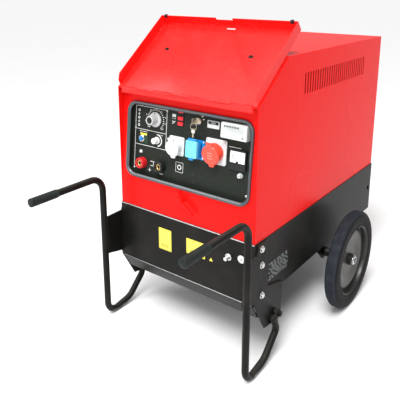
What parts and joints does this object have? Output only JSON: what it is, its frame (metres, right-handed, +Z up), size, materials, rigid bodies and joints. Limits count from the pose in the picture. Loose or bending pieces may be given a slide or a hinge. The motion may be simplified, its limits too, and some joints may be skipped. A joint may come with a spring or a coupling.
{
  "type": "engine driven welder",
  "caption": "Engine driven welder: silenced canopy on a base tray, slanted control panel under a folding lid, bent tube handles that are also legs, and two solid wheels.",
  "frame": {"origin": "on the floor, under the middle of the bounding box", "axes": "+Z up, the control panel and the grips face -Y, +X is to the right seen from the front"},
  "size_m": [0.848, 1.434, 1.1751],
  "materials": {
    "red_paint": "glossy powder coat",
    "black_paint": "satin powder coat",
    "tyre_rubber": "matt solid rubber",
    "rim_steel": "zinc plated, slightly brushed",
    "soft_rubber": "matt ribbed rubber",
    "zinc_plate": "bright zinc",
    "black_plastic": "fine grain",
    "grey_plastic": "light grey, slight gloss",
    "white_plastic": "slight gloss",
    "blue_plastic": "slight gloss",
    "red_plastic": "slight gloss",
    "frame_rubber": "extruded grey profile",
    "panel_lacquer": "satin dark lacquer",
    "brass": "turned",
    "key_brass": "nickel silver",
    "lamp_red": "translucent lens",
    "clear_plastic": "clear cover",
    "tank_plastic": "moulded tank",
    "cast_housing": "sand cast",
    "heat_steel": "heat stained",
    "heatsink_alloy": "extruded fins"
  },
  "bodies": {
    "chassis": {"alternator": "cast_housing", "axle": "zinc_plate", "base_tray": "black_paint", "battery": "black_plastic", "blue_socket": "blue_plastic", "breaker_box": "grey_plastic", "control_panel": "panel_lacquer", "engine": "cast_housing", "front_cross_member": "black_paint", "front_fascia": "red_paint", "fuel_tank": "tank_plastic", "fuse_holder": "zinc_plate", "hour_meter": "black_plastic", "key_switch": "zinc_plate", "lamp_strip": "lamp_red", "left_axle_bracket": "black_paint", "left_bracket": "black_paint", "left_grip": "soft_rubber", "left_handle_tube": "black_paint", "left_hub_nut": "zinc_plate", "left_side_panel": "red_paint", "lid_hinge": "red_paint", "minus_insert": "brass", "minus_socket": "black_plastic", "panel_frame": "frame_rubber", "panel_meter": "black_plastic", "plus_insert": "brass", "plus_socket": "red_plastic", "power_module": "heatsink_alloy", "rear_panel": "red_paint", "red_socket": "grey_plastic", "right_axle_bracket": "black_paint", "right_bracket": "black_paint", "right_grip": "soft_rubber", "right_handle_tube": "black_paint", "right_hub_nut": "zinc_plate", "right_side_panel": "red_paint", "roof_panel": "red_paint", "silencer": "heat_steel", "white_socket": "grey_plastic"},
    "lid": {"lid": "red_paint", "left_lid_buffer": "soft_rubber", "right_lid_buffer": "soft_rubber"},
    "latch": {"latch_lever": "red_paint"},
    "current_knob": {"current_knob": "grey_plastic"},
    "arc_knob": {"arc_knob": "grey_plastic"},
    "push_button": {"push_button": "blue_plastic"},
    "key": {"key": "key_brass"},
    "key_ring": {"key_ring": "zinc_plate"},
    "white_cap": {"white_cap": "white_plastic"},
    "blue_cap": {"blue_cap": "blue_plastic"},
    "red_cap": {"red_cap": "red_plastic"},
    "breaker_cover": {"breaker_cover": "clear_plastic"},
    "breaker_toggle": {"breaker_toggle": "black_plastic"},
    "left_wheel": {"left_tyre": "tyre_rubber", "left_rim": "rim_steel", "left_hub_bush": "black_plastic"},
    "right_wheel": {"right_tyre": "tyre_rubber", "right_rim": "rim_steel", "right_hub_bush": "black_plastic"}
  },
  "joints": [
    {"name": "lid_swing", "type": "hinge", "parent": "chassis", "child": "lid", "pos_m": [0, -0.323, 0.9265], "axis": [-1, 0, 0], "range_deg": [-225.4, 0]},
    {"name": "latch_turn", "type": "hinge", "parent": "chassis", "child": "latch", "pos_m": [0, -0.32, 0.556], "axis": [0, -1, 0], "range_deg": [-52, 0]},
    {"name": "current_knob_turn", "type": "hinge", "parent": "chassis", "child": "current_knob", "pos_m": [-0.158, -0.29669, 0.81165], "axis": [0, -0.9956, 0.0933], "range_deg": [-140, 140]},
    {"name": "arc_knob_turn", "type": "hinge", "parent": "chassis", "child": "arc_knob", "pos_m": [-0.147, -0.2988, 0.73551], "axis": [0, -0.9956, 0.0933], "range_deg": [-140, 140]},
    {"name": "button_press", "type": "slide", "parent": "chassis", "child": "push_button", "axis": [0, 0.9956, -0.0933], "range_m": [0, 0.004], "stiffness_N_per_m": 400},
    {"name": "key_turn", "type": "hinge", "parent": "chassis", "child": "key", "pos_m": [0.035, -0.28938, 0.83607], "axis": [0, 0.9956, -0.0933], "range_deg": [0, 50]},
    {"name": "ring_swing", "type": "hinge", "parent": "key", "child": "key_ring", "pos_m": [0.035, -0.2998, 0.83203], "axis": [0, 0.9956, -0.0933], "range_deg": [-50, 0]},
    {"name": "white_cap_swing", "type": "hinge", "parent": "chassis", "child": "white_cap", "pos_m": [-0.052, -0.31849, 0.76431], "axis": [-1, 0, 0], "range_deg": [0, 110], "stiffness_Nm_per_rad": 0.05},
    {"name": "red_cap_swing", "type": "hinge", "parent": "chassis", "child": "red_cap", "pos_m": [0.119, -0.32429, 0.78029], "axis": [-1, 0, 0], "range_deg": [0, 110], "stiffness_Nm_per_rad": 0.05},
    {"name": "blue_cap_swing", "type": "hinge", "parent": "chassis", "child": "blue_cap", "pos_m": [0.038, -0.3092, 0.77465], "axis": [-1, 0, 0], "range_deg": [0, 110], "stiffness_Nm_per_rad": 0.05},
    {"name": "breaker_cover_swing", "type": "hinge", "parent": "chassis", "child": "breaker_cover", "pos_m": [0.2, -0.30256, 0.85187], "axis": [-1, 0, 0], "range_deg": [0, 120]},
    {"name": "breaker_toggle_turn", "type": "hinge", "parent": "chassis", "child": "breaker_toggle", "pos_m": [0.2, -0.28792, 0.82589], "axis": [1, 0, 0], "range_deg": [0, 56]},
    {"name": "left_wheel_spin", "type": "hinge", "parent": "chassis", "child": "left_wheel", "pos_m": [-0.4, 0.264, 0.2], "axis": [1, 0, 0], "continuous": true},
    {"name": "right_wheel_spin", "type": "hinge", "parent": "chassis", "child": "right_wheel", "pos_m": [0.4, 0.264, 0.2], "axis": [1, 0, 0], "continuous": true}
  ],
  "couplings": [
    {"joint": "ring_swing", "follows": "key_turn", "ratio": -1}
  ]
}
